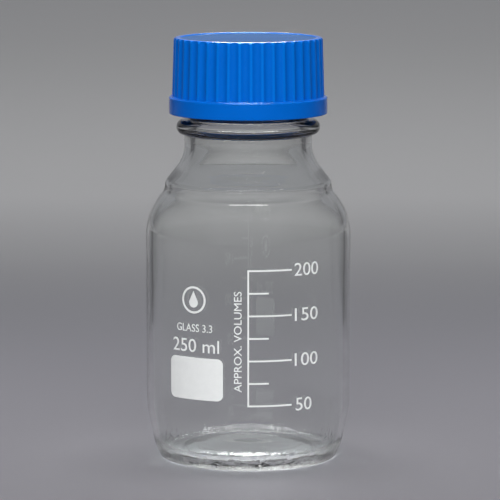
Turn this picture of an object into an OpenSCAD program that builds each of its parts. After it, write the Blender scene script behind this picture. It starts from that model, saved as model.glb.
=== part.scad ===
// Reagent bottle, 250 ml, with a GL 45 screw cap and a pouring ring.
// Millimetres. +Z up, origin at the centre of the base, graduations towards -Y.

/* [Glass bottle] */
// Outside diameter of the body
body_d = 70; // [69.8:0.1:70.2]
// Wall thickness of the body
wall = 2.2; // [1.8:0.1:2.4]
// Thickness of the base in the middle
base_wall = 2; // [1.8:0.1:2.6]
// Radius of the shoulder's curve
shoulder_r = 22.2; // [20:0.2:22.2]
// Height of the joint between the shoulder and the flare of the neck
joint_z = 92.15; // [91.8:0.05:92.4]
// Diameter at that joint
joint_d = 57.1; // [56.8:0.1:57.3]
// Outside diameter of the neck, below its bead
neck_d = 43.6; // [42:0.1:43.6]
// Inside diameter of the neck, below its bead
neck_bore_d = 36.6; // [34:0.1:37]
// Diameter of the bead below the thread
bead_d = 49.1; // [49:0.1:50]
// Inside diameter of the mouth
mouth_d = 30; // [28:0.5:31]
// Height of the lip above the table
lip_z = 138.6; // [138:0.1:139]
// Rise of the base under the middle of the bottle
base_rise = 3.6; // [2.5:0.1:4]

/* [Thread] */
// Diameter over the glass thread
thread_d = 45; // [44.6:0.1:45.2]
// Diameter of the glass between the turns
core_d = 41; // [40.6:0.1:41.2]
// Turns of thread on the glass, and in the cap
turns = 1.75; // [1.5:0.25:2]

/* [Screw cap] */
// Diameter of the plain band at the foot of the cap
band_d = 54.1; // [53.5:0.1:54.5]
// Height of the plain band
band_h = 5.8; // [5:0.1:6.5]
// Diameter over the grips at the band
grip_d = 51.94; // [51.5:0.1:52.4]
// Diameter over the grips at the top
grip_top_d = 50.72; // [50.4:0.1:51]
// Height of the cap
cap_h = 25.9; // [25.8:0.1:26.2]
// Height of the cap's foot above the table
cap_z = 118.3; // [118.2:0.1:118.6]
// Inside diameter of the cap
cap_bore_d = 46.4; // [46.2:0.1:46.6]
// Grooves round the cap
flutes = 42; // [36:1:44]
// Angle that the grooves stand at when the cap is tight
tight_angle = -2.1; // [-8:0.1:8]

/* [Prints] */
// Thickness of the fired enamel
enamel = 0.08; // [0.06:0.01:0.12]
// Height of the 50 ml line
line_50_z = 23.25; // [22:0.05:25]
// Rise between the lines of two numbered volumes
line_step = 15.24; // [14.8:0.01:15.6]
// Width of a printed line
line_w = 0.55; // [0.4:0.05:0.8]
// Height of the graduation numerals
numeral_h = 4.4; // [4:0.1:5]
// Height of the capacity's numerals
capacity_h = 4.5; // [4:0.1:5]
// Height of the small letters
caption_h = 2.6; // [2:0.1:3]
// Height of the glass type's letters
glass_type_h = 2.8; // [2:0.1:3]

/* [Hidden] */
$fn = 96;

body_r = body_d / 2;
inner_r = body_r - wall;
core_r = core_d / 2;
mouth_r = mouth_d / 2;
cap_top_z = cap_z + cap_h;
cap_roof_z = cap_top_z - 2;
ring_top_z = lip_z + 1.6;
pitch = 4;

// ---- outlines ----------------------------------------------------------------------------

function unit(v) = v / norm(v);
function heading(v) = atan2(v[1], v[0]);
function short_way(a) = a > 180 ? a - 360 : a < -180 ? a + 360 : a;

// The arc that rounds corner p, between the corners before and after it. p[2] is its radius.
function rounded_corner(before, p, after, steps = 8) =
    let (
        at = [p[0], p[1]],
        u = unit([before[0], before[1]] - at),
        v = unit([after[0], after[1]] - at),
        half = acos(max(-1, min(1, u * v))) / 2,
        middle = at + unit(u + v) * p[2] / sin(half),
        from = heading(at + u * p[2] / tan(half) - middle),
        turn = short_way(heading(at + v * p[2] / tan(half) - middle) - from)
    )
    [for (i = [0:steps]) middle + p[2] * [cos(from + turn * i / steps), sin(from + turn * i / steps)]];

// A closed outline from corners of the form [x, y] or [x, y, radius].
function rounded(corners) =
    let (n = len(corners))
    [for (i = [0:n - 1])
        each corners[i][2] == undef
            ? [[corners[i][0], corners[i][1]]]
            : rounded_corner(corners[(i + n - 1) % n], corners[i], corners[(i + 1) % n])];

module turned(corners) {
    rotate_extrude() polygon(rounded(corners));
}

// ---- screw thread ------------------------------------------------------------------------

thread_steps = 36;
lead_in = 5;

// One section of the thread: a trapezium whose height grows over the lead-in at each end.
function thread_section(i, last, root_r, crest_r, root_w, crest_w) =
    let (
        grown = min(1, (i + 0.3) / lead_in, (last - i + 0.3) / lead_in),
        r = root_r + (crest_r - root_r) * grown,
        w = root_w + (crest_w - root_w) * grown
    )
    [[root_r, -root_w / 2], [r, -w / 2], [r, w / 2], [root_r, root_w / 2]];

// A right-hand thread that starts at height z and climbs for the given turns.
module thread(z, root_r, crest_r, root_w, crest_w, start = 0) {
    last = round(turns * thread_steps);
    points = [for (i = [0:last])
        for (p = thread_section(i, last, root_r, crest_r, root_w, crest_w))
            let (a = start + 360 * i / thread_steps)
            [p[0] * cos(a), p[0] * sin(a), z + p[1] + pitch * i / thread_steps]];
    flip = crest_r < root_r;
    sides = [for (i = [0:last - 1]) for (k = [0:3])
        let (a = 4 * i + k, b = 4 * i + (k + 1) % 4)
        each [[a, a + 4, b + 4], [a, b + 4, b]]];
    ends = [[0, 1, 2], [0, 2, 3], [4 * last + 2, 4 * last + 1, 4 * last],
            [4 * last + 3, 4 * last + 2, 4 * last]];
    faces = concat(sides, ends);
    polyhedron(points, flip ? faces : [for (f = faces) [f[2], f[1], f[0]]]);
}

// ---- glass bottle ------------------------------------------------------------------------

glass_thread_z = 122.5;
lip_r = 19.7;
groove_r = 19;

// The bottle stands on a ring between foot_r and heel_r. Its heel rises to the straight wall.
foot_r = 26.2;
heel_r = body_r - 4.9;
heel_bend_r = body_r - 2.8;
heel_bend_z = 4.2;
heel_top_z = 17.5;
foot_wall = 3.4;

// The shoulder and the flare lean from the upright by these angles, and meet at the joint.
joint_r = joint_d / 2;
joint_h = 2.85;
shoulder_lean = 40.5;
shoulder_z = joint_z - (body_r - joint_r) / tan(shoulder_lean);
flare_top_z = joint_z + joint_h + 8.65;
neck_wall_drop = 1.2;

bead_low_z = 111.4;
bead_high_z = 116.2;

// The outside, from the middle of the base up to the lip, and back down the inside, a wall's
// thickness in from it.
glass_outline = [
    [0, base_rise],
    [21, base_rise - 1, 14],
    [foot_r, 0, 1],
    [heel_r, 0, 1],
    [heel_bend_r, heel_bend_z, 9],
    [body_r, heel_top_z, 24],
    [body_r, shoulder_z, shoulder_r],
    [joint_r, joint_z, 4],
    [joint_r, joint_z + joint_h, 3.5],
    [neck_d / 2, flare_top_z, 12],
    [neck_d / 2, bead_low_z, 0.5],
    [bead_d / 2, bead_low_z, 2.2],
    [bead_d / 2, bead_high_z, 2.4],
    [core_r, bead_high_z, 0.7],
    [core_r, lip_z - 4.4],
    [groove_r, lip_z - 4],
    [groove_r, lip_z - 2.9],
    [lip_r, lip_z - 2.4],
    [lip_r, lip_z, 0.8],
    [mouth_r, lip_z, 0.8],
    [mouth_r, 118.5, 5],
    [neck_bore_d / 2, 113, 5],
    [neck_bore_d / 2, flare_top_z - neck_wall_drop, 15.5],
    [joint_r - wall, joint_z + joint_h - wall * tan(19), 1.3],
    [joint_r - wall, joint_z - wall * tan(shoulder_lean / 2), 5.5],
    [inner_r, shoulder_z - wall * tan(shoulder_lean / 2), shoulder_r - wall],
    [inner_r, heel_top_z, 22],
    [heel_r, foot_wall, 4.4],
    [18, base_rise + base_wall - 1, 20],
    [0, base_rise + base_wall]];

module glass_bottle() {
    color("lightcyan", 0.35)
    union() {
        turned(glass_outline);
        thread(glass_thread_z, core_r - 0.9, thread_d / 2, 2.5, 1.1);
    }
}

// ---- pouring ring ------------------------------------------------------------------------

// It sits on the lip, hooks below the lip's bead, and ends in a thin edge that doesn't drip.
ring_outline = [
    [mouth_r + 0.4, lip_z],
    [lip_r + 0.3, lip_z],
    [lip_r + 0.3, lip_z - 2.8],
    [groove_r + 0.4, lip_z - 3.1],
    [groove_r + 0.4, lip_z - 3.8, 0.15],
    [core_r + 0.1, lip_z - 3.8, 0.3],
    [core_r + 0.1, ring_top_z - 0.6],
    [core_r + 0.4, ring_top_z],
    [core_r - 0.4, ring_top_z],
    [core_r - 1.6, ring_top_z - 0.5, 0.4],
    [mouth_r + 2.8, ring_top_z - 0.5],
    [mouth_r + 0.4, ring_top_z - 0.9, 0.25]];

module pouring_ring() {
    color("royalblue")
    turned(ring_outline);
}

// ---- screw cap ---------------------------------------------------------------------------

flute_r = 2.1;
flute_depth = 0.62;
band_top_z = cap_z + band_h;
draft = atan((grip_d - grip_top_d) / 2 / (cap_h - band_h));

// The roof's seal is a thin lip, moulded in one piece with the cap, that rests on the pouring ring.
cap_outline = [
    [0, cap_top_z - 0.25],
    [grip_top_d / 2 - 2.4, cap_top_z - 0.25, 0.2],
    [grip_top_d / 2 - 2.1, cap_top_z, 0.2],
    [grip_top_d / 2, cap_top_z, 1],
    [grip_d / 2, band_top_z],
    [band_d / 2, band_top_z, 0.7],
    [band_d / 2, cap_z, 0.4],
    [cap_bore_d / 2 + 0.5, cap_z, 0.3],
    [cap_bore_d / 2, cap_z + 1],
    [cap_bore_d / 2, cap_roof_z, 0.8],
    [mouth_r + 2.6, cap_roof_z],
    [mouth_r + 2.2, ring_top_z - 0.5, 0.2],
    [mouth_r + 1.6, ring_top_z - 0.5, 0.2],
    [mouth_r + 1.2, cap_roof_z],
    [0, cap_roof_z]];

module flute_cutter() {
    translate([grip_d / 2 - flute_depth + flute_r, 0, band_top_z])
        rotate([0, -draft, 0])
        cylinder(r = flute_r, h = cap_h);
}

module screw_cap() {
    color("royalblue")
    union() {
        difference() {
            turned(cap_outline);
            for (i = [0:flutes - 1])
                rotate([0, 0, 360 * (i + 0.5) / flutes + tight_angle])
                flute_cutter();
        }
        thread(glass_thread_z - pitch / 2, cap_bore_d / 2 + 0.4, core_r + 0.75, 2, 0.9);
    }
}

// ---- prints ------------------------------------------------------------------------------

// Solid artwork, drawn about the origin, kept where it passes through a thin skin round the body,
// at an angle to the right of the front.
module wrapped(angle, z, reach = 40) {
    rotate([0, 0, angle])
    intersection() {
        rotate_extrude()
            translate([body_r, z - reach / 2])
            square([enamel, reach]);
        translate([0, 0, z])
            rotate([90, 0, 0])
            children();
    }
}

module solid() {
    linear_extrude(height = body_r + 2)
    children();
}

module rounded_plate(w, h, r) {
    polygon(rounded([[-w / 2, -h / 2, r], [w / 2, -h / 2, r], [w / 2, h / 2, r], [-w / 2, h / 2, r]]));
}

module marking_panel() {
    color("white")
    wrapped(-30.9, 31.8)
        solid()
        rounded_plate(20.4, 14.3, 2);
}

// The scale is a comb: an upright line with a mark at each 25 ml, long where it has a numeral.
scale_mid = 12;
long_mark = 24.5;
short_mark = 11.3;

function scale_x(angle) = body_r * sin(angle - scale_mid);
function mark_z(i) = (i - 3) * line_step / 2;
function mark_end(i) = scale_x(i % 2 == 0 ? long_mark : short_mark);

module graduation_scale() {
    left = scale_x(0) - line_w / 2;
    right = scale_x(0) + line_w / 2;
    half = line_w / 2;
    color("white")
    wrapped(scale_mid, line_50_z + 1.5 * line_step, 60)
        solid()
        polygon(concat(
            [[left, mark_z(0) - half], [left, mark_z(6) + half]],
            [for (i = [6:-1:0]) each concat(
                [[mark_end(i), mark_z(i) + half], [mark_end(i), mark_z(i) - half]],
                i > 0 ? [[right, mark_z(i) - half], [right, mark_z(i - 1) + half]] : [])]));
}

// ---- lettering ---------------------------------------------------------------------------

// Letters are strokes on a grid where a capital is 1 high. stroke_w is their width.
stroke_w = 0.14;
low = stroke_w / 2;
high = 1 - stroke_w / 2;

function bow(x, y, rx, ry, from, to, steps = 8) =
    [for (i = [0:steps])
        let (a = from + (to - from) * i / steps)
        [x + rx * cos(a), y + ry * sin(a)]];

function left_of(v) = [-v[1], v[0]];

// The way out from a stroke's middle line at point i, long enough to mitre a corner.
function across(p, i) =
    let (
        before = unit(p[max(i, 1)] - p[max(i, 1) - 1]),
        after = unit(p[min(i + 1, len(p) - 1)] - p[min(i + 1, len(p) - 1) - 1]),
        middle = unit(left_of(before) + left_of(after))
    )
    middle / max(0.5, middle * left_of(before));

module stroke(p) {
    last = len(p) - 1;
    half = stroke_w / 2;
    solid()
        polygon(concat(
            [for (i = [0:last]) p[i] + half * across(p, i)],
            [for (i = [last:-1:0]) p[i] - half * across(p, i)]));
}

module loop(x, y, rx, ry) {
    half = stroke_w / 2;
    solid()
    difference() {
        polygon(bow(x, y, rx + half, ry + half, 0, 345, 23));
        polygon(bow(x, y, rx - half, ry - half, 0, 345, 23));
    }
}

// The strokes of a character, each a list of points.
function strokes(c) =
    c == "1" ? [[[0.14, 0.74], [0.4, high - 0.03], [0.4, 0]]] :
    c == "2" ? [concat(bow(0.34, 0.67, 0.25, 0.26, 165, -35), [[0.08, low], [0.64, low]])] :
    c == "3" ? [bow(0.33, 0.72, 0.22, 0.21, 155, -95), bow(0.33, 0.29, 0.26, 0.22, 100, -155)] :
    c == "5" ? [concat([[0.58, high], [0.2, high], [0.13, 0.5]], bow(0.34, 0.33, 0.27, 0.26, 130, -155))] :
    c == "m" ? [[[low, 0], [low, 0.74]], concat([[low, 0.5]], bow(0.26, 0.5, 0.18, 0.17, 150, 0), [[0.44, 0]]),
                concat([[0.47, 0.5]], bow(0.63, 0.5, 0.18, 0.17, 150, 0), [[0.81, 0]])] :
    c == "l" ? [[[low, 0], [low, 1]]] :
    c == "." ? [[[0, low], [stroke_w, low]]] :
    c == "A" ? [[[low, 0], [0.42, high], [0.77, 0]], [[0.2, 0.33], [0.64, 0.33]]] :
    c == "P" ? [[[low, 0], [low, 1]], concat([[0.1, high], [0.38, high]], bow(0.42, 0.71, 0.22, 0.22, 90, -90),
                [[0.1, 0.49]])] :
    c == "R" ? [[[low, 0], [low, 1]], concat([[0.1, high], [0.4, high]], bow(0.44, 0.71, 0.22, 0.22, 90, -90),
                [[0.1, 0.49]]), [[0.42, 0.45], [0.72, 0]]] :
    c == "X" ? [[[low, 0], [0.7, 1]], [[0.7, 0], [low, 1]]] :
    c == "V" ? [[[low, 1], [0.41, low], [0.75, 1]]] :
    c == "L" ? [[[low, 1], [low, low], [0.6, low]]] :
    c == "U" ? [concat([[low, 1]], bow(0.38, 0.37, 0.31, 0.3, 180, 360), [[0.69, 1]])] :
    c == "M" ? [[[low, 0], [0.1, high], [0.44, 0.12], [0.78, high], [0.81, 0]]] :
    c == "E" ? [[[0.66, low], [low, low], [low, high], [0.64, high]], [[0.1, 0.52], [0.6, 0.52]]] :
    c == "S" ? [concat(bow(0.36, 0.71, 0.26, 0.22, 20, 240), bow(0.36, 0.29, 0.29, 0.22, 60, -160))] :
    c == "G" ? [concat(bow(0.44, 0.5, 0.36, 0.43, 45, 330), [[0.8, 0.45], [0.5, 0.45]])] :
    [];

// How far the next character starts from this one.
function advance(c) =
    c == "m" ? 1.06 :
    c == "l" ? 0.32 :
    c == "." ? 0.36 :
    c == "O" || c == "G" || c == "M" || c == "A" || c == "R" || c == "U" ? 0.98 :
    c == "X" || c == "V" || c == "P" || c == "E" || c == "S" ? 0.9 :
    c == " " ? 0.42 :
    0.8;

function run(text, n) = n == 0 ? 0 : advance(text[n - 1]) + run(text, n - 1);

// A line of letters with its middle at the origin.
module lettering(words, size) {
    scale(size)
    translate([-run(words, len(words)) / 2 + 0.06, -0.5])
    for (i = [0:len(words) - 1])
        translate([run(words, i), 0]) {
            for (p = strokes(words[i]))
                stroke(p);
            if (words[i] == "0") loop(0.36, 0.5, 0.27, 0.43);
            if (words[i] == "O") loop(0.45, 0.5, 0.37, 0.43);
        }
}

module graduation_numerals() {
    color("white")
    for (i = [0:3])
        wrapped(i == 0 ? 32.2 : 34, line_50_z + i * line_step)
        lettering(["50", "100", "150", "200"][i], numeral_h);
}

module capacity_print() {
    color("white")
    wrapped(-31, 43)
        lettering("250 ml", capacity_h);
}

module scale_caption() {
    color("white")
    wrapped(-5.7, 45, 60)
        rotate([0, 0, 90])
        lettering("APPROX. VOLUMES", caption_h);
}

module glass_type_print() {
    color("white")
    wrapped(-31.5, 49)
        lettering("GLASS 3.3", glass_type_h);
}

// A plain mark: a drop in a ring.
module maker_mark() {
    color("white")
    wrapped(-31.5, 58.5)
        solid()
        union() {
            difference() {
                circle(r = 4.6);
                circle(r = 3.9);
            }
            polygon(concat([[0, 3]], bow(0, -0.9, 1.7, 1.7, 30, -210, 20)));
        }
}

glass_bottle();
pouring_ring();
screw_cap();
marking_panel();
graduation_scale();
graduation_numerals();
capacity_print();
scale_caption();
glass_type_print();
maker_mark();
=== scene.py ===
"""Reagent bottle, 250 ml, with a GL 45 thread.

Clear borosilicate glass, a blue polypropylene screw cap and pouring ring, and white enamel prints.

Pieces are drawn in millimetres and kept in metres, in the frame's own axes: +Z up, the graduations
facing -Y.
"""

from math import acos, atan2, ceil, cos, degrees, hypot, pi, radians, sin, tan

import bmesh
import bpy
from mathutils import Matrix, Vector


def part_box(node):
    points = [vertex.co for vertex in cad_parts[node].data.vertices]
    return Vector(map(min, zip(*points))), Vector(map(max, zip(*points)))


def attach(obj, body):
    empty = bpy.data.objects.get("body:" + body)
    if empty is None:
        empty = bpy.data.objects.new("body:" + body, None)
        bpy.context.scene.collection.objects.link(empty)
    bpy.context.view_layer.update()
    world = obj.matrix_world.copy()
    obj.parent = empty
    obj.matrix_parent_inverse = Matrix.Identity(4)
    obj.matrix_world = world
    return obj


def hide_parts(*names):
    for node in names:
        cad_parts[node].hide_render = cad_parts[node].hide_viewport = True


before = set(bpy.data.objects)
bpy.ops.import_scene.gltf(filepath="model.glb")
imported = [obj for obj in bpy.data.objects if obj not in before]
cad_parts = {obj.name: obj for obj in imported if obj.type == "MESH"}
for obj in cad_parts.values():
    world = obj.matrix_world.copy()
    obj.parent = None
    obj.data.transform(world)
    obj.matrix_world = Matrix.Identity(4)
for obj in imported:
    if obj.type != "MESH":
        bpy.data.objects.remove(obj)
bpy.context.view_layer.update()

MM = 0.001


# ---- sizes, in millimetres -----------------------------------------------------------------


def span(node):
    """The lowest and highest corner of a CAD node, in millimetres."""
    low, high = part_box(node)
    return low / MM, high / MM


glass_high = span("glass_bottle")[1]
cap_low, cap_high = span("screw_cap")
ring_high = span("pouring_ring")[1]

BODY_R = glass_high.x
WALL = 2.2
INNER_R = BODY_R - WALL
LIP_Z = glass_high.z
FOOT_R = 26.2
FOOT_WALL = 3.4
HEEL_R = BODY_R - 4.9
HEEL_BEND_R = BODY_R - 2.8
HEEL_BEND_Z = 4.2
HEEL_TOP_Z = 17.5
SHOULDER_Z = 84.6
SHOULDER_R = 22.2
JOINT_Z = 92.15
JOINT_H = 2.85
FLARE_R = 28.55
FLARE_TOP_Z = 103.65
NECK_R = 21.8
NECK_BORE_R = 18.3
BEAD_R = 24.55
BEAD_LOW_Z = 111.4
BEAD_HIGH_Z = 116.2
CORE_R = 20.5
THREAD_R = 22.5
MOUTH_R = 15.0
LIP_R = 19.7
LIP_GROOVE_R = 19.0
BASE_RISE = 3.6

# The inner corners lie this much lower than the outer ones, so that the wall keeps its thickness.
SHOULDER_DROP = 0.81
JOINT_DROP = 0.76
NECK_DROP = 1.2

# The stippled ring under the base, and the finely divided stretch of the base that carries it.
STIPPLE_FROM_R = 22.3
STIPPLE_TO_R = 30.6
STIPPLE_TOP_Z = 2.0
FINE_FROM_R = 21.5
FINE_TO_R = 32
FINE_TOP_Z = 2.2

PITCH = 4.0
THREAD_TURNS = 1.75
THREAD_Z = 122.5

CAP_Z = cap_low.z
CAP_TOP = cap_high.z
ROOF_Z = CAP_TOP - 2
BAND_R = cap_high.x
BAND_TOP = CAP_Z + 5.8
GRIP_R = 25.97
GRIP_TOP_R = 25.36
RIM_R = GRIP_TOP_R - 2.4
RIM_H = 0.25
CAP_BORE_R = 23.2
FLUTES = 42
FLUTE_R = 2.1
FLUTE_DEPTH = 0.62
TIGHT_ANGLE = -2.1

RING_TOP = ring_high.z

ENAMEL = 0.08
LINE_50_Z = 23.25
LINE_STEP = 15.24


# ---- studio sizes, in metres ---------------------------------------------------------------

FLOOR_R = 3
FLAG_FROM = (0.115, 0.2)
FLAG_TO = (0.5, 0.3)
FLAG_FADE_X = 0.22
CAMERA_PLACE = (0, -1.0693, 0.2231)
CAMERA_TILT = 8.09

# The paper's painted tones, at distances behind the bottle. They were fitted by measurement, one by one,
# and stand in for a fall-off that the lights here don't give.
PAPER = [(-0.1, "#717074"), (0.12, "#706f74"), (0.3, "#636367"), (0.47, "#6c6c6e"), (0.72, "#8b8b8c"),
         (1.31, "#969697"), (1.97, "#b1b1b2"), (2.6, "#d0d0d1")]


# ---- turned blanks -------------------------------------------------------------------------


def toward(start, end):
    """The unit vector from one point to another."""
    x, y = end[0] - start[0], end[1] - start[1]
    size = hypot(x, y)
    return x / size, y / size


def rounded_corner(before, corner, after, step=5.0):
    """The arc that rounds a corner [r, z, fillet], with a point at least every few degrees."""
    u, v = toward(corner, before), toward(corner, after)
    half = acos(max(-1, min(1, u[0] * v[0] + u[1] * v[1]))) / 2
    along = toward((0, 0), (u[0] + v[0], u[1] + v[1]))
    reach = corner[2] / sin(half)
    middle = corner[0] + along[0] * reach, corner[1] + along[1] * reach
    back = corner[2] / tan(half)
    first = atan2(corner[1] + u[1] * back - middle[1], corner[0] + u[0] * back - middle[0])
    last = atan2(corner[1] + v[1] * back - middle[1], corner[0] + v[0] * back - middle[0])
    turn = (last - first + pi) % (2 * pi) - pi
    count = max(3, ceil(abs(degrees(turn)) / step))
    angles = [first + turn * i / count for i in range(count + 1)]
    return [(middle[0] + corner[2] * cos(a), middle[1] + corner[2] * sin(a)) for a in angles]


def rounded(corners):
    """An outline's points, from corners [r, z] or [r, z, fillet]."""
    points = []
    for i, corner in enumerate(corners):
        if len(corner) == 2:
            points.append(tuple(corner))
        else:
            points += rounded_corner(corners[i - 1], corner, corners[(i + 1) % len(corners)])
    return points


def divided(points, finest):
    """The points, with long stretches cut up. finest(r, z) gives the longest stretch there."""
    result = [points[0]]
    for start, end in zip(points, points[1:]):
        middle = (start[0] + end[0]) / 2, (start[1] + end[1]) / 2
        count = max(1, ceil(hypot(end[0] - start[0], end[1] - start[1]) / finest(*middle)))
        for i in range(1, count + 1):
            result.append(tuple(a + (b - a) * i / count for a, b in zip(start, end)))
    return result


def turned(name, points, around, closed):
    """A blank turned from an outline. around(r, z) is a ring's point count, closed joins last to first."""
    shape = bmesh.new()
    rings = []
    for r, z in points:
        if r < 1e-6:
            rings.append([shape.verts.new((0, 0, z * MM))])
            continue
        count = around(r, z)
        angles = [2 * pi * i / count for i in range(count)]
        rings.append([shape.verts.new((r * cos(a) * MM, r * sin(a) * MM, z * MM)) for a in angles])
    pairs = list(zip(rings, rings[1:])) + ([(rings[-1], rings[0])] if closed else [])
    for low, high in pairs:
        stitch(shape, low, high)
    bmesh.ops.recalc_face_normals(shape, faces=shape.faces)
    for face in shape.faces:
        face.smooth = True
    mesh = bpy.data.meshes.new(name)
    shape.to_mesh(mesh)
    shape.free()
    return mesh


def stitch(shape, low, high):
    """Faces between two rings. One ring's count is a multiple of the other's, or it is a pole."""
    if len(low) > len(high):
        low, high = high, low
    few, many = len(low), len(high)
    share = many // few
    if few == many:
        for i in range(many):
            j = (i + 1) % many
            shape.faces.new((low[i], low[j], high[j], high[i]))
        return
    for i in range(many):
        j = (i + 1) % many
        shape.faces.new((high[i], high[j], low[(i // share) % few]))
        if few > 1 and j % share == 0:
            shape.faces.new((low[i // share], low[(i // share + 1) % few], high[j]))


# ---- nodes ---------------------------------------------------------------------------------


def node(tree, kind, inputs=None, **settings):
    """Adds a node with its settings. An input takes a value, or another node's output to link it to."""
    new = tree.nodes.new(kind)
    for name, value in settings.items():
        setattr(new, name, value)
    for name, value in (inputs or {}).items():
        if isinstance(value, bpy.types.Node):
            value = value.outputs[0]
        if isinstance(value, bpy.types.NodeSocket):
            tree.links.new(value, new.inputs[name])
        else:
            new.inputs[name].default_value = value
    return new


def shaping_tree(name, sizes):
    """An empty Geometry Nodes tree with these named size inputs, and its input and output nodes."""
    tree = bpy.data.node_groups.new(name, "GeometryNodeTree")
    tree.interface.new_socket("Geometry", in_out="INPUT", socket_type="NodeSocketGeometry")
    tree.interface.new_socket("Geometry", in_out="OUTPUT", socket_type="NodeSocketGeometry")
    tree.interface.new_socket("Material", in_out="INPUT", socket_type="NodeSocketMaterial")
    for size in sizes:
        tree.interface.new_socket(size, in_out="INPUT", socket_type="NodeSocketFloat")
    return tree, tree.nodes.new("NodeGroupInput"), tree.nodes.new("NodeGroupOutput")


def finish_tree(tree, given, result, geometry):
    """Ends a tree in Realize Instances and Set Material."""
    real = node(tree, "GeometryNodeRealizeInstances", {"Geometry": geometry})
    coloured = {"Geometry": real, "Material": given.outputs["Material"]}
    coloured = node(tree, "GeometryNodeSetMaterial", coloured)
    tree.links.new(coloured.outputs["Geometry"], result.inputs["Geometry"])
    return tree


def shaped(mesh, tree, material, sizes):
    """Runs a tree on a blank with these sizes in millimetres or plain numbers, and gives a plain mesh."""
    blank = bpy.data.objects.new(mesh.name, mesh)
    bpy.context.scene.collection.objects.link(blank)
    modifier = blank.modifiers.new(tree.name, "NODES")
    modifier.node_group = tree
    for item in tree.interface.items_tree:
        if item.in_out == "INPUT" and item.name in sizes:
            modifier[item.identifier] = float(sizes[item.name])
        if item.in_out == "INPUT" and item.name == "Material":
            modifier[item.identifier] = material
    depsgraph = bpy.context.evaluated_depsgraph_get()
    result = bpy.data.meshes.new_from_object(blank.evaluated_get(depsgraph), depsgraph=depsgraph)
    bpy.data.objects.remove(blank)
    return result


def cylindrical(tree):
    """Nodes that read a point's place: its x, y, z node, its radius and its angle in radians."""
    place = node(tree, "ShaderNodeSeparateXYZ", {0: node(tree, "GeometryNodeInputPosition")})
    flat = node(tree, "ShaderNodeCombineXYZ", {"X": place.outputs["X"], "Y": place.outputs["Y"]})
    radius = node(tree, "ShaderNodeVectorMath", {0: flat}, operation="LENGTH").outputs["Value"]
    inputs = {0: place.outputs["Y"], 1: place.outputs["X"]}
    angle = node(tree, "ShaderNodeMath", inputs, operation="ARCTAN2")
    outward = node(tree, "ShaderNodeVectorMath", {0: flat}, operation="NORMALIZE")
    return place, radius, angle, outward


def thread_tree():
    """Raises a right-hand screw thread on the wall of a given radius, outwards or inwards."""
    sizes = ["Wall radius", "Height", "Foot height", "Pitch", "Turns", "Foot width", "Crest width",
             "Run-out"]
    tree, given, result = shaping_tree("screw_thread", sizes)
    get = given.outputs
    place, radius, angle, outward = cylindrical(tree)
    turn = node(tree, "ShaderNodeMath", {0: angle, 1: 2 * pi}, operation="DIVIDE")
    up = node(tree, "ShaderNodeMath", {0: place.outputs["Z"], 1: get["Foot height"]}, operation="SUBTRACT")
    climbed = node(tree, "ShaderNodeMath", {0: up, 1: get["Pitch"]}, operation="DIVIDE")
    behind = node(tree, "ShaderNodeMath", {0: climbed, 1: turn}, operation="SUBTRACT")
    whole = node(tree, "ShaderNodeMath", {0: behind}, operation="ROUND")
    off = node(tree, "ShaderNodeMath", {0: behind, 1: whole}, operation="SUBTRACT")
    away = node(tree, "ShaderNodeMath", {0: off}, operation="ABSOLUTE")
    aside = node(tree, "ShaderNodeMath", {0: away, 1: get["Pitch"]}, operation="MULTIPLY")
    along = node(tree, "ShaderNodeMath", {0: whole, 1: turn}, operation="ADD")
    left = node(tree, "ShaderNodeMath", {0: get["Turns"], 1: along}, operation="SUBTRACT")
    from_end = node(tree, "ShaderNodeMath", {0: along, 1: left}, operation="MINIMUM")
    grown = {"Value": from_end, "From Min": 0.0, "From Max": get["Run-out"]}
    grown = node(tree, "ShaderNodeMapRange", grown, interpolation_type="SMOOTHSTEP")
    foot = node(tree, "ShaderNodeMath", {0: get["Foot width"], 1: 0.5}, operation="MULTIPLY")
    crest = node(tree, "ShaderNodeMath", {0: get["Crest width"], 1: 0.5}, operation="MULTIPLY")
    flank = {"Value": aside, "From Min": foot, "From Max": crest}
    flank = node(tree, "ShaderNodeMapRange", flank, interpolation_type="SMOOTHSTEP")
    share = node(tree, "ShaderNodeMath", {0: flank, 1: grown}, operation="MULTIPLY")
    rise = node(tree, "ShaderNodeMath", {0: share, 1: get["Height"]}, operation="MULTIPLY")
    offset = node(tree, "ShaderNodeVectorMath", {0: outward, "Scale": rise}, operation="SCALE")
    apart = node(tree, "ShaderNodeMath", {0: radius, 1: get["Wall radius"]}, operation="SUBTRACT")
    gap = node(tree, "ShaderNodeMath", {0: apart}, operation="ABSOLUTE")
    on_wall = node(tree, "ShaderNodeMath", {0: gap, 1: 0.02 * MM}, operation="LESS_THAN")
    moved = {"Geometry": get["Geometry"], "Selection": on_wall, "Offset": offset}
    moved = node(tree, "GeometryNodeSetPosition", moved)
    return finish_tree(tree, given, result, moved)


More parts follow.
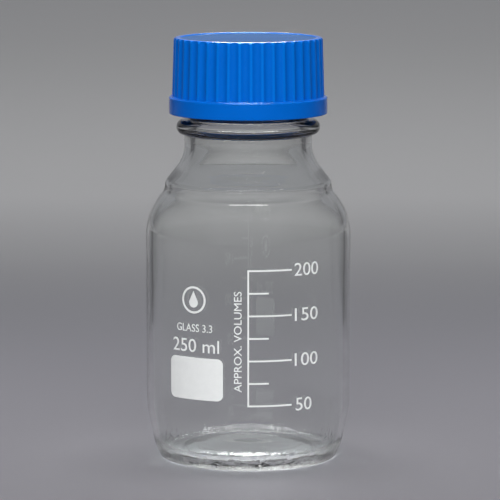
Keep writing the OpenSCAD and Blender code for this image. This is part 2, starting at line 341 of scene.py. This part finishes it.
def grip_tree():
    """Cuts the round grooves of the grip into the cap's side, and marks the ridges between them for a painted
    highlight.
    """
    sizes = ["Grooves", "Groove radius", "Depth", "Side radius", "Draft", "Foot height", "Start", "Ease"]
    tree, given, result = shaping_tree("cap_grip", sizes)
    get = given.outputs
    place, radius, angle, outward = cylindrical(tree)
    step = node(tree, "ShaderNodeMath", {0: 2 * pi, 1: get["Grooves"]}, operation="DIVIDE")
    turned_back = node(tree, "ShaderNodeMath", {0: angle, 1: get["Start"]}, operation="SUBTRACT")
    count = node(tree, "ShaderNodeMath", {0: turned_back, 1: step}, operation="DIVIDE")
    floor = node(tree, "ShaderNodeMath", {0: count}, operation="FLOOR")
    part = node(tree, "ShaderNodeMath", {0: count, 1: floor}, operation="SUBTRACT")
    centred = node(tree, "ShaderNodeMath", {0: part, 1: 0.5}, operation="SUBTRACT")
    aside = node(tree, "ShaderNodeMath", {0: centred, 1: step}, operation="MULTIPLY")
    cosine = node(tree, "ShaderNodeMath", {0: aside}, operation="COSINE")
    sine = node(tree, "ShaderNodeMath", {0: aside}, operation="SINE")
    up = {0: place.outputs["Z"], 1: get["Foot height"]}
    up = node(tree, "ShaderNodeMath", up, operation="SUBTRACT")
    lean = node(tree, "ShaderNodeMath", {0: up, 1: get["Draft"]}, operation="MULTIPLY")
    side_radius = node(tree, "ShaderNodeMath", {0: get["Side radius"], 1: lean}, operation="SUBTRACT")
    hollow = node(tree, "ShaderNodeMath", {0: get["Groove radius"], 1: get["Depth"]}, operation="SUBTRACT")
    centre = node(tree, "ShaderNodeMath", {0: side_radius, 1: hollow}, operation="ADD")
    near = node(tree, "ShaderNodeMath", {0: centre, 1: cosine}, operation="MULTIPLY")
    side = node(tree, "ShaderNodeMath", {0: centre, 1: sine}, operation="MULTIPLY")
    side_2 = node(tree, "ShaderNodeMath", {0: side, 1: side}, operation="MULTIPLY")
    groove_2 = {0: get["Groove radius"], 1: get["Groove radius"]}
    groove_2 = node(tree, "ShaderNodeMath", groove_2, operation="MULTIPLY")
    rest = node(tree, "ShaderNodeMath", {0: groove_2, 1: side_2}, operation="SUBTRACT")
    rest = node(tree, "ShaderNodeMath", {0: rest, 1: 0.0}, operation="MAXIMUM")
    bulge = node(tree, "ShaderNodeMath", {0: rest}, operation="SQRT")
    wall = node(tree, "ShaderNodeMath", {0: near, 1: bulge}, operation="SUBTRACT")
    cut = {0: radius, 1: wall, 2: get["Ease"]}
    cut = node(tree, "ShaderNodeMath", cut, operation="SMOOTH_MIN")
    outwards = node(tree, "ShaderNodeMath", {0: cut, 1: radius}, operation="SUBTRACT")
    offset = node(tree, "ShaderNodeVectorMath", {0: outward, "Scale": outwards}, operation="SCALE")
    above = {0: place.outputs["Z"], 1: get["Foot height"]}
    above = node(tree, "ShaderNodeMath", above, operation="GREATER_THAN")
    wide = node(tree, "ShaderNodeMath", {0: get["Side radius"], 1: 0.01 * MM}, operation="ADD")
    within = node(tree, "ShaderNodeMath", {0: radius, 1: wide}, operation="LESS_THAN")
    chosen = node(tree, "ShaderNodeMath", {0: above, 1: within}, operation="MULTIPLY")
    sunk = node(tree, "ShaderNodeMath", {0: side_radius, 1: wall}, operation="SUBTRACT")
    # The ridge mark paints the cap lighter there: a painted highlight for the light that the thin ridges
    # catch.
    ridge_highlight = {"Value": sunk, "From Min": 0.1 * MM, "From Max": -0.25 * MM}
    ridge_highlight = node(tree, "ShaderNodeMapRange", ridge_highlight, interpolation_type="SMOOTHSTEP")
    ridge_highlight = node(tree, "ShaderNodeMath", {0: ridge_highlight, 1: chosen}, operation="MULTIPLY")
    marked = {"Geometry": get["Geometry"], "Name": "ridge_highlight", "Value": ridge_highlight}
    marked = node(tree, "GeometryNodeStoreNamedAttribute", marked)
    moved = {"Geometry": marked, "Selection": chosen, "Offset": offset}
    moved = node(tree, "GeometryNodeSetPosition", moved)
    return finish_tree(tree, given, result, moved)


def stipple_tree():
    """Presses staggered rows of dimples into the ring that the bottle stands on."""
    sizes = ["Inner radius", "Outer radius", "Top height", "Ring gap", "Dots round", "Dot radius", "Depth"]
    tree, given, result = shaping_tree("base_stipple", sizes)
    get = given.outputs
    place, radius, angle, outward = cylindrical(tree)
    from_inner = node(tree, "ShaderNodeMath", {0: radius, 1: get["Inner radius"]}, operation="SUBTRACT")
    row = node(tree, "ShaderNodeMath", {0: from_inner, 1: get["Ring gap"]}, operation="DIVIDE")
    row_number = node(tree, "ShaderNodeMath", {0: row}, operation="ROUND")
    row_off = node(tree, "ShaderNodeMath", {0: row, 1: row_number}, operation="SUBTRACT")
    across = node(tree, "ShaderNodeMath", {0: row_off, 1: get["Ring gap"]}, operation="MULTIPLY")
    step = node(tree, "ShaderNodeMath", {0: 2 * pi, 1: get["Dots round"]}, operation="DIVIDE")
    count = node(tree, "ShaderNodeMath", {0: angle, 1: step}, operation="DIVIDE")
    stagger = node(tree, "ShaderNodeMath", {0: row_number, 1: 0.5}, operation="MULTIPLY")
    shifted = node(tree, "ShaderNodeMath", {0: count, 1: stagger}, operation="ADD")
    nearest = node(tree, "ShaderNodeMath", {0: shifted}, operation="ROUND")
    dot_off = node(tree, "ShaderNodeMath", {0: shifted, 1: nearest}, operation="SUBTRACT")
    arc = node(tree, "ShaderNodeMath", {0: dot_off, 1: step}, operation="MULTIPLY")
    along = node(tree, "ShaderNodeMath", {0: arc, 1: radius}, operation="MULTIPLY")
    from_dot = node(tree, "ShaderNodeCombineXYZ", {"X": across, "Y": along})
    away = node(tree, "ShaderNodeVectorMath", {0: from_dot}, operation="LENGTH").outputs["Value"]
    lift = {"Value": away, "From Min": get["Dot radius"], "From Max": 0.0, "To Max": get["Depth"]}
    lift = node(tree, "ShaderNodeMapRange", lift, interpolation_type="SMOOTHSTEP")
    offset = node(tree, "ShaderNodeCombineXYZ", {"Z": lift})
    outside = {0: radius, 1: get["Inner radius"]}
    outside = node(tree, "ShaderNodeMath", outside, operation="GREATER_THAN")
    inside = node(tree, "ShaderNodeMath", {0: radius, 1: get["Outer radius"]}, operation="LESS_THAN")
    low = node(tree, "ShaderNodeMath", {0: place.outputs["Z"], 1: get["Top height"]}, operation="LESS_THAN")
    band = node(tree, "ShaderNodeMath", {0: outside, 1: inside}, operation="MULTIPLY")
    chosen = node(tree, "ShaderNodeMath", {0: band, 1: low}, operation="MULTIPLY")
    moved = {"Geometry": get["Geometry"], "Selection": chosen, "Offset": offset}
    moved = node(tree, "GeometryNodeSetPosition", moved)
    return finish_tree(tree, given, result, moved)


def wrap_tree():
    """Wraps flat artwork, drawn about the origin in X and Y, round an upright wall of a given radius."""
    tree, given, result = shaping_tree("wrap_on_wall", ["Wall radius", "Angle", "Height", "Turn"])
    get = given.outputs
    spin = node(tree, "ShaderNodeCombineXYZ", {"Z": get["Turn"]})
    upright = {"Geometry": get["Geometry"], "Rotation": spin}
    upright = node(tree, "GeometryNodeTransform", upright)
    place = node(tree, "ShaderNodeSeparateXYZ", {0: node(tree, "GeometryNodeInputPosition")})
    arc = {0: place.outputs["X"], 1: get["Wall radius"]}
    arc = node(tree, "ShaderNodeMath", arc, operation="DIVIDE")
    angle = node(tree, "ShaderNodeMath", {0: arc, 1: get["Angle"]}, operation="ADD")
    out = {0: place.outputs["Z"], 1: get["Wall radius"]}
    out = node(tree, "ShaderNodeMath", out, operation="ADD")
    sine = node(tree, "ShaderNodeMath", {0: angle}, operation="SINE")
    cosine = node(tree, "ShaderNodeMath", {0: angle}, operation="COSINE")
    x = node(tree, "ShaderNodeMath", {0: out, 1: sine}, operation="MULTIPLY")
    forward = node(tree, "ShaderNodeMath", {0: out, 1: cosine}, operation="MULTIPLY")
    y = node(tree, "ShaderNodeMath", {0: forward, 1: -1.0}, operation="MULTIPLY")
    z = node(tree, "ShaderNodeMath", {0: place.outputs["Y"], 1: get["Height"]}, operation="ADD")
    wrapped = node(tree, "ShaderNodeCombineXYZ", {"X": x, "Y": y, "Z": z})
    moved = node(tree, "GeometryNodeSetPosition", {"Geometry": upright, "Position": wrapped})
    return finish_tree(tree, given, result, moved)


# ---- materials -----------------------------------------------------------------------------


def colour(hex_code):
    """An sRGB hex value as a linear colour."""
    values = [int(hex_code[i:i + 2], 16) / 255 for i in (1, 3, 5)]
    return [v / 12.92 if v <= 0.04045 else ((v + 0.055) / 1.055) ** 2.4 for v in values] + [1.0]


def new_material(name):
    """An empty material: its tree and its output node."""
    material = bpy.data.materials.new(name)
    material.use_nodes = True
    material.node_tree.nodes.clear()
    return material, material.node_tree, material.node_tree.nodes.new("ShaderNodeOutputMaterial")


def borosilicate_glass():
    """Clear borosilicate glass, blown in a mould: colourless, with faint waves in its wall."""
    material, tree, output = new_material("borosilicate_glass")
    place = node(tree, "ShaderNodeTexCoord").outputs["Object"]
    # The waves run up the wall, about 14 mm apart.
    stretched = node(tree, "ShaderNodeMapping", {"Vector": place, "Scale": (1, 1, 0.35)})
    waves = {"Vector": stretched, "Scale": 1 / (14 * MM), "Detail": 2.0, "Roughness": 0.4}
    waves = node(tree, "ShaderNodeTexNoise", waves)
    bump = node(tree, "ShaderNodeBump", {"Height": waves, "Distance": 0.12 * MM, "Strength": 0.5})
    # The heel keeps the ripples of the cold mould, about 2.5 mm apart, fading out 9 mm up the wall.
    axes = node(tree, "ShaderNodeSeparateXYZ", {0: place}).outputs
    low = {"Value": axes["Z"], "From Min": 9 * MM, "From Max": 2 * MM}
    low = node(tree, "ShaderNodeMapRange", low, interpolation_type="SMOOTHSTEP")
    flat = node(tree, "ShaderNodeCombineXYZ", {"X": axes["X"], "Y": axes["Y"]})
    radius = node(tree, "ShaderNodeVectorMath", {0: flat}, operation="LENGTH").outputs["Value"]
    edge = {"Value": radius, "From Min": 27 * MM, "From Max": 30.5 * MM}
    edge = node(tree, "ShaderNodeMapRange", edge, interpolation_type="SMOOTHSTEP")
    low = node(tree, "ShaderNodeMath", {0: low, 1: edge}, operation="MULTIPLY")
    ripples = {"Vector": place, "Scale": 1 / (2.5 * MM), "Detail": 2.0, "Roughness": 0.5, "Distortion": 0.6}
    ripples = node(tree, "ShaderNodeTexNoise", ripples)
    ripples = node(tree, "ShaderNodeMath", {0: ripples, 1: low}, operation="MULTIPLY")
    bump = {"Height": ripples, "Distance": 0.7 * MM, "Strength": 1.0, "Normal": bump}
    bump = node(tree, "ShaderNodeBump", bump)
    glass = node(tree, "ShaderNodeBsdfPrincipled", {
        "Base Color": colour("#fdfefd"), "Roughness": 0.0, "IOR": 1.474, "Transmission Weight": 1.0,
        "Normal": bump})
    # Shadows are drawn as plain tinted light, without caustics. The heel's is set denser than the wall's.
    shade = {0: low, 6: colour("#f0f2f1"), 7: colour("#686c6a")}
    shade = node(tree, "ShaderNodeMix", shade, data_type="RGBA")
    clear = node(tree, "ShaderNodeBsdfTransparent", {"Color": shade.outputs[2]})
    shadow = node(tree, "ShaderNodeLightPath").outputs["Is Shadow Ray"]
    mixed = node(tree, "ShaderNodeMixShader", {0: shadow, 1: glass, 2: clear})
    tree.links.new(mixed.outputs[0], output.inputs["Surface"])
    return material


def blue_polypropylene():
    """Injection-moulded polypropylene: a satin skin with soft highlights, and a painted highlight on the thin
    ridges.
    """
    material, tree, output = new_material("blue_polypropylene")
    place = node(tree, "ShaderNodeTexCoord").outputs["Object"]
    cloud = node(tree, "ShaderNodeTexNoise", {"Vector": place, "Scale": 1 / (9 * MM), "Detail": 3.0})
    skin = {0: cloud, 6: colour("#0061c4"), 7: colour("#0066ce")}
    skin = node(tree, "ShaderNodeMix", skin, data_type="RGBA")
    # Painted highlight: the ridges are coloured lighter, for the light that they catch.
    ridge_highlight = node(tree, "ShaderNodeAttribute", attribute_name="ridge_highlight").outputs["Fac"]
    shade = {0: ridge_highlight, 6: skin.outputs[2], 7: colour("#0070d8")}
    shade = node(tree, "ShaderNodeMix", shade, data_type="RGBA").outputs[2]
    # The mould's fine spark texture is drawn at 0.35 mm, coarser than the real one, so that it shows.
    grain = {"Vector": place, "Scale": 1 / (0.35 * MM), "Detail": 2.0}
    grain = node(tree, "ShaderNodeTexNoise", grain)
    bump = node(tree, "ShaderNodeBump", {"Height": grain, "Distance": 0.02 * MM, "Strength": 0.3})
    gloss = {"Value": cloud, "To Min": 0.09, "To Max": 0.15}
    gloss = node(tree, "ShaderNodeMapRange", gloss)
    # The recessed top is drawn matt and darker than the rest, because the lights above wash it out.
    axes = node(tree, "ShaderNodeSeparateXYZ", {0: place}).outputs
    flat = node(tree, "ShaderNodeCombineXYZ", {"X": axes["X"], "Y": axes["Y"]})
    radius = node(tree, "ShaderNodeVectorMath", {0: flat}, operation="LENGTH").outputs["Value"]
    outer = {"Value": radius, "From Min": (RIM_R - 0.1) * MM, "From Max": (RIM_R + 0.2) * MM}
    outer = node(tree, "ShaderNodeMapRange", outer)
    shade = node(tree, "ShaderNodeMix", {0: outer, 6: colour("#005494"), 7: shade}, data_type="RGBA")
    shine = node(tree, "ShaderNodeMapRange", {"Value": outer, "To Min": 0.012, "To Max": 0.36})
    plastic = node(tree, "ShaderNodeBsdfPrincipled", {
        "Base Color": shade.outputs[2], "Roughness": gloss, "IOR": 1.49, "Specular IOR Level": shine,
        "Specular Tint": colour("#8cc8ff"), "Normal": bump})
    tree.links.new(plastic.outputs[0], output.inputs["Surface"])
    return material


def white_enamel():
    """Fired ceramic enamel, screen printed: dense white, semi-matt, with the slight grain of the mesh."""
    material, tree, output = new_material("white_enamel")
    place = node(tree, "ShaderNodeTexCoord").outputs["Object"]
    mottle = node(tree, "ShaderNodeTexNoise", {"Vector": place, "Scale": 1 / (2.2 * MM), "Detail": 3.0})
    shade = {0: mottle, 6: colour("#e6e8e7"), 7: colour("#f0f2f1")}
    shade = node(tree, "ShaderNodeMix", shade, data_type="RGBA")
    # The screen's mesh is drawn at 0.25 mm.
    grain = node(tree, "ShaderNodeTexNoise", {"Vector": place, "Scale": 1 / (0.25 * MM), "Detail": 1.0})
    bump = node(tree, "ShaderNodeBump", {"Height": grain, "Distance": 0.01 * MM, "Strength": 0.4})
    enamel = node(tree, "ShaderNodeBsdfPrincipled", {
        "Base Color": shade.outputs[2], "Roughness": 0.45, "IOR": 1.5, "Normal": bump})
    tree.links.new(enamel.outputs[0], output.inputs["Surface"])
    return material


def studio_paper():
    """Grey seamless paper, matt. Its uneven light is painted into its tone, by distance behind the bottle."""
    material, tree, output = new_material("studio_paper")
    place = node(tree, "ShaderNodeTexCoord").outputs["Object"]
    depth = node(tree, "ShaderNodeSeparateXYZ", {0: place}).outputs["Y"]
    near, far = PAPER[0][0], PAPER[-1][0]
    depth = node(tree, "ShaderNodeMapRange", {"Value": depth, "From Min": near, "From Max": far})
    tones = node(tree, "ShaderNodeValToRGB", {0: depth})
    ramp = tones.color_ramp
    ramp.interpolation = "B_SPLINE"
    ramp.elements[0].color = colour(PAPER[0][1])
    ramp.elements[1].color = colour(PAPER[-1][1])
    for metres, tone in PAPER[1:-1]:
        ramp.elements.new((metres - near) / (far - near)).color = colour(tone)
    paper = node(tree, "ShaderNodeBsdfPrincipled", {
        "Base Color": tones.outputs["Color"], "Roughness": 0.75, "Specular IOR Level": 0.0})
    tree.links.new(paper.outputs[0], output.inputs["Surface"])
    return material


def dark_card():
    """Dark grey card, felt faced and matt, thinned out inwards, so that the glass shows soft dark edges."""
    material, tree, output = new_material("dark_card")
    card = node(tree, "ShaderNodeBsdfPrincipled", {"Base Color": colour("#4c4c4e"), "Roughness": 0.9})
    place = node(tree, "ShaderNodeTexCoord").outputs["Object"]
    aside = node(tree, "ShaderNodeSeparateXYZ", {0: place}).outputs["X"]
    aside = node(tree, "ShaderNodeMath", {0: aside}, operation="ABSOLUTE")
    dense = {"Value": aside, "From Min": FLAG_FROM[0], "From Max": FLAG_FADE_X}
    dense = node(tree, "ShaderNodeMapRange", dense, interpolation_type="SMOOTHSTEP")
    clear = node(tree, "ShaderNodeBsdfTransparent")
    mixed = node(tree, "ShaderNodeMixShader", {0: dense, 1: clear, 2: card})
    tree.links.new(mixed.outputs[0], output.inputs["Surface"])
    return material


# ---- pieces --------------------------------------------------------------------------------


def piece(name, mesh, body, slot, *nodes):
    """A finished mesh as a piece that rides on a body and stands for these CAD nodes."""
    made = bpy.data.objects.new(name, mesh)
    bpy.context.scene.collection.objects.link(made)
    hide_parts(*nodes)
    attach(made, body)
    return made


def glass_bottle(material):
    """The bottle: one turned wall, with the thread raised on its neck and stipples under its base."""
    outline = [
        [0, BASE_RISE],
        [21, BASE_RISE - 1, 14],
        [FOOT_R, 0, 1],
        [HEEL_R, 0, 1],
        [HEEL_BEND_R, HEEL_BEND_Z, 9],
        [BODY_R, HEEL_TOP_Z, 24],
        [BODY_R, SHOULDER_Z, SHOULDER_R],
        [FLARE_R, JOINT_Z, 4],
        [FLARE_R, JOINT_Z + JOINT_H, 3.5],
        [NECK_R, FLARE_TOP_Z, 12],
        [NECK_R, BEAD_LOW_Z, 0.5],
        [BEAD_R, BEAD_LOW_Z, 2.2],
        [BEAD_R, BEAD_HIGH_Z, 2.4],
        [CORE_R, BEAD_HIGH_Z, 0.7],
        [CORE_R, LIP_Z - 4.4],
        [LIP_GROOVE_R, LIP_Z - 4],
        [LIP_GROOVE_R, LIP_Z - 2.9],
        [LIP_R, LIP_Z - 2.4],
        [LIP_R, LIP_Z, 0.8],
        [MOUTH_R, LIP_Z, 0.8],
        [MOUTH_R, 118.5, 5],
        [NECK_BORE_R, 113, 5],
        [NECK_BORE_R, FLARE_TOP_Z - NECK_DROP, 15.5],
        [FLARE_R - WALL, JOINT_Z + JOINT_H - JOINT_DROP, 1.3],
        [FLARE_R - WALL, JOINT_Z - SHOULDER_DROP, 5.5],
        [INNER_R, SHOULDER_Z - SHOULDER_DROP, SHOULDER_R - WALL],
        [INNER_R, HEEL_TOP_Z, 22],
        [HEEL_R, FOOT_WALL, 4.4],
        [18, BASE_RISE + 1, 20],
        [0, BASE_RISE + 2]]

    def finest(r, z):
        if abs(r - CORE_R) < 0.01:
            return 0.3
        return 0.3 if z < FINE_TOP_Z and r > FINE_FROM_R else 4.0

    def around(r, z):
        return 900 if z < FINE_TOP_Z and FINE_FROM_R < r < FINE_TO_R else 180

    blank = turned("glass_bottle", divided(rounded(outline), finest), around, closed=False)
    threaded = shaped(blank, thread_tree(), material, {
        "Wall radius": CORE_R * MM, "Height": (THREAD_R - CORE_R) * MM, "Foot height": THREAD_Z * MM,
        "Pitch": PITCH * MM, "Turns": THREAD_TURNS, "Foot width": 3.0 * MM, "Crest width": 0.8 * MM,
        "Run-out": 0.14})
    stippled = shaped(threaded, stipple_tree(), material, {
        "Inner radius": STIPPLE_FROM_R * MM, "Outer radius": STIPPLE_TO_R * MM,
        "Top height": STIPPLE_TOP_Z * MM, "Ring gap": 0.9 * MM, "Dots round": 150,
        "Dot radius": 0.55 * MM, "Depth": 0.3 * MM})
    return piece("bottle_glass", stippled, "bottle", "borosilicate_glass", "glass_bottle")


def pouring_ring(material):
    """The pouring ring: it hooks under the lip and ends in a thin edge that doesn't drip."""
    outline = [
        [MOUTH_R + 0.4, LIP_Z],
        [LIP_R + 0.3, LIP_Z],
        [LIP_R + 0.3, LIP_Z - 2.8],
        [LIP_GROOVE_R + 0.4, LIP_Z - 3.1],
        [LIP_GROOVE_R + 0.4, LIP_Z - 3.8, 0.15],
        [CORE_R + 0.1, LIP_Z - 3.8, 0.3],
        [CORE_R + 0.1, RING_TOP - 0.6, 0.3],
        [CORE_R + 0.4, RING_TOP, 0.1],
        [CORE_R - 0.4, RING_TOP, 0.2],
        [CORE_R - 1.6, RING_TOP - 0.5, 0.4],
        [MOUTH_R + 2.8, RING_TOP - 0.5, 0.6],
        [MOUTH_R + 0.4, RING_TOP - 0.9, 0.25]]
    mesh = turned("pouring_ring", rounded(outline), lambda r, z: 240, closed=True)
    mesh.materials.append(material)
    return piece("ring_moulding", mesh, "ring", "blue_polypropylene", "pouring_ring")


def screw_cap(material):
    """The cap: a turned blank, with the grooves of the grip outside and the thread inside."""
    outline = [
        [0, CAP_TOP - RIM_H],
        [RIM_R, CAP_TOP - RIM_H, 0.2],
        [RIM_R + 0.3, CAP_TOP, 0.2],
        [GRIP_TOP_R, CAP_TOP, 1],
        [GRIP_R, BAND_TOP, 0.25],
        [BAND_R, BAND_TOP, 0.6],
        [BAND_R, CAP_Z, 0.4],
        [CAP_BORE_R + 0.5, CAP_Z, 0.3],
        [CAP_BORE_R, CAP_Z + 1],
        [CAP_BORE_R, ROOF_Z, 0.8],
        [MOUTH_R + 2.6, ROOF_Z],
        [MOUTH_R + 2.2, RING_TOP - 0.5, 0.2],
        [MOUTH_R + 1.6, RING_TOP - 0.5, 0.2],
        [MOUTH_R + 1.2, ROOF_Z],
        [0, ROOF_Z]]

    def finest(r, z):
        if abs(r - CAP_BORE_R) < 0.01:
            return 0.45
        if r > RIM_R and z > BAND_TOP - 0.7:
            return 0.12 if z > CAP_TOP - 1.5 else 0.4
        return 6.0

    def around(r, z):
        return 20 * FLUTES if r > CAP_BORE_R + 0.8 and z > BAND_TOP - 0.01 else 10 * FLUTES

    blank = turned("screw_cap", divided(rounded(outline), finest), around, closed=False)
    gripped = shaped(blank, grip_tree(), material, {
        "Grooves": FLUTES, "Groove radius": FLUTE_R * MM, "Depth": FLUTE_DEPTH * MM,
        "Side radius": GRIP_R * MM, "Draft": (GRIP_R - GRIP_TOP_R) / (CAP_TOP - BAND_TOP),
        "Foot height": (BAND_TOP - 0.1) * MM,
        "Start": radians(TIGHT_ANGLE), "Ease": 0.2 * MM})
    threaded = shaped(gripped, thread_tree(), material, {
        "Wall radius": CAP_BORE_R * MM, "Height": (CORE_R + 0.75 - CAP_BORE_R) * MM,
        "Foot height": (THREAD_Z - PITCH / 2) * MM, "Pitch": PITCH * MM, "Turns": THREAD_TURNS,
        "Foot width": 2.2 * MM, "Crest width": 0.7 * MM, "Run-out": 0.14})
    return piece("cap_moulding", threaded, "cap", "blue_polypropylene", "screw_cap")


def lettering(words, height, width):
    """Words as a solid about the origin, as thick as the enamel, fitted to a height and a width."""
    text = bpy.data.curves.new(words, "FONT")
    text.body = words
    text.extrude = 0.5
    text.resolution_u = 4
    holder = bpy.data.objects.new(words, text)
    bpy.context.scene.collection.objects.link(holder)
    depsgraph = bpy.context.evaluated_depsgraph_get()
    mesh = bpy.data.meshes.new_from_object(holder.evaluated_get(depsgraph), depsgraph=depsgraph)
    bpy.data.objects.remove(holder)
    low = [min(v.co[k] for v in mesh.vertices) for k in range(3)]
    high = [max(v.co[k] for v in mesh.vertices) for k in range(3)]
    for v in mesh.vertices:
        v.co.x = (v.co.x - (low[0] + high[0]) / 2) * width / (high[0] - low[0]) * MM
        v.co.y = (v.co.y - (low[1] + high[1]) / 2) * height / (high[1] - low[1]) * MM
        v.co.z = (v.co.z + 0.5) * ENAMEL * MM
    welded = bmesh.new()
    welded.from_mesh(mesh)
    bmesh.ops.remove_doubles(welded, verts=welded.verts, dist=0.001 * MM)
    bmesh.ops.recalc_face_normals(welded, faces=welded.faces)
    welded.to_mesh(mesh)
    welded.free()
    return mesh


def printed(name, artwork, wrap, material, nodes):
    """One enamel print, from lines of lettering given as (mesh, angle to the right, height, turn)."""
    joined = bmesh.new()
    for mesh, angle, height, turn in artwork:
        sizes = {"Wall radius": BODY_R * MM, "Angle": radians(angle), "Height": height * MM,
                 "Turn": radians(turn)}
        joined.from_mesh(shaped(mesh, wrap, material, sizes))
    mesh = bpy.data.meshes.new(name)
    joined.to_mesh(mesh)
    joined.free()
    mesh.materials.append(material)
    return piece(name, mesh, "bottle", "white_enamel", *nodes)


def prints(material):
    """The enamel: letters and numerals drawn here, the scale, panel and mark carried over from the frame."""
    wrap = wrap_tree()
    numerals = [(lettering(words, 4.4, width), angle, LINE_50_Z + i * LINE_STEP, 0)
                for i, (words, width, angle) in enumerate(
                    [("50", 6.3, 32.2), ("100", 9.3, 34), ("150", 9.3, 34), ("200", 9.6, 34)])]
    printed("numerals_enamel", numerals, wrap, material, ["graduation_numerals"])
    capacity = [(lettering("250 ml", 4.5, 18.2), -31, 43, 0)]
    printed("capacity_enamel", capacity, wrap, material, ["capacity_print"])
    caption = [(lettering("APPROX. VOLUMES", 2.6, 34), -5.7, 45, 90)]
    printed("caption_enamel", caption, wrap, material, ["scale_caption"])
    glass_type = [(lettering("GLASS 3.3", 2.6, 14), -31.5, 49, 0)]
    printed("glass_type_enamel", glass_type, wrap, material, ["glass_type_print"])
    for name in ("graduation_scale", "marking_panel", "maker_mark"):
        print_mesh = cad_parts[name].data
        print_mesh.materials.clear()
        print_mesh.materials.append(material)


# ---- studio --------------------------------------------------------------------------------


def studio_floor(material):
    """A round paper floor that fills the view."""
    shape = bmesh.new()
    bmesh.ops.create_circle(shape, cap_ends=True, segments=96, radius=FLOOR_R)
    bmesh.ops.translate(shape, verts=shape.verts, vec=(0, 0, -0.1 * MM))
    mesh = bpy.data.meshes.new("studio_floor")
    shape.to_mesh(mesh)
    shape.free()
    mesh.materials.append(material)
    floor = bpy.data.objects.new("studio_floor", mesh)
    bpy.context.scene.collection.objects.link(floor)


def softbox(name, place, aim, width, height, watts):
    """A rectangular softbox at a place, facing a point."""
    light = bpy.data.lights.new(name, "AREA")
    light.shape = "RECTANGLE"
    light.size = width
    light.size_y = height
    light.energy = watts
    holder = bpy.data.objects.new(name, light)
    holder.location = place
    direction = [a - p for a, p in zip(aim, place)]
    side = hypot(direction[0], direction[1])
    holder.rotation_euler = (atan2(side, -direction[2]), 0, atan2(-direction[0], direction[1]))
    bpy.context.scene.collection.objects.link(holder)
    return holder


def flag(name, side, low, high, felt):
    """A dark card behind the bottle, beside the view. Only the glass and the gloss show it."""
    shape = bmesh.new()
    corners = [(*FLAG_FROM, low), (*FLAG_TO, low), (*FLAG_TO, high), (*FLAG_FROM, high)]
    shape.faces.new([shape.verts.new((side * x, y, z)) for x, y, z in corners])
    mesh = bpy.data.meshes.new(name)
    shape.to_mesh(mesh)
    shape.free()
    mesh.materials.append(felt)
    card = bpy.data.objects.new(name, mesh)
    card.visible_camera = False
    card.visible_diffuse = False
    card.visible_shadow = False
    bpy.context.scene.collection.objects.link(card)


def studio():
    """Soft grey surroundings, softboxes above and behind, two lights for gloss, and a front fill."""
    world = bpy.data.worlds.new("studio")
    world.use_nodes = True
    tree = world.node_tree
    way = node(tree, "ShaderNodeTexCoord").outputs["Generated"]
    way = node(tree, "ShaderNodeSeparateXYZ", {0: way})
    sideways = node(tree, "ShaderNodeMath", {0: way.outputs["X"]}, operation="ABSOLUTE")
    dim = {"Value": sideways, "From Min": 0.5, "From Max": 0.9}
    dim = node(tree, "ShaderNodeMapRange", dim, interpolation_type="SMOOTHSTEP")
    shade = {0: dim, 6: colour("#8c8d90"), 7: colour("#3a3b3d")}
    shade = node(tree, "ShaderNodeMix", shade, data_type="RGBA")
    tree.links.new(shade.outputs[2], tree.nodes["Background"].inputs["Color"])
    bpy.context.scene.world = world
    softbox("top_softbox", (0, 0.12, 1.3), (0, 0.1, 0), 0.7, 0.25, 16)
    strip = softbox("strip_light", (0, -0.18, 1.35), (0, 0, 0.1), 0.7, 0.12, 50)
    strip.visible_diffuse = False
    window = softbox("back_window", (0, 1.13, 0.7), (0, 0, 0.05), 0.2, 0.16, 7)
    window.visible_diffuse = False
    softbox("back_softbox", (0, 0.9, 1.5), (0, 0.8, 0), 1.2, 0.4, 10)
    felt = dark_card()
    for name, side in (("left", -1), ("right", 1)):
        flag(name + "_low_flag", side, 0.0, 0.062, felt)
        flag(name + "_high_flag", side, 0.084, 0.15, felt)
    fill = softbox("front_fill", (0, -2.6, 0.8), (0, 0, 0.1), 2.4, 1.2, 65)
    fill.visible_glossy = False
    fill.visible_transmission = False
    bpy.context.scene.view_settings.view_transform = "Standard"


def camera():
    """A long lens, a little above the cap, looking slightly down."""
    lens = bpy.data.cameras.new("camera")
    lens.lens = 226.6
    lens.sensor_width = 36
    lens.shift_x = 0.0036
    lens.clip_end = 50
    holder = bpy.data.objects.new("camera", lens)
    holder.location = CAMERA_PLACE
    holder.rotation_euler = (radians(90 - CAMERA_TILT), 0, 0)
    bpy.context.scene.collection.objects.link(holder)
    bpy.context.scene.camera = holder


camera()
studio()
studio_floor(studio_paper())
glass_bottle(borosilicate_glass())
polypropylene = blue_polypropylene()
pouring_ring(polypropylene)
screw_cap(polypropylene)
prints(white_enamel())
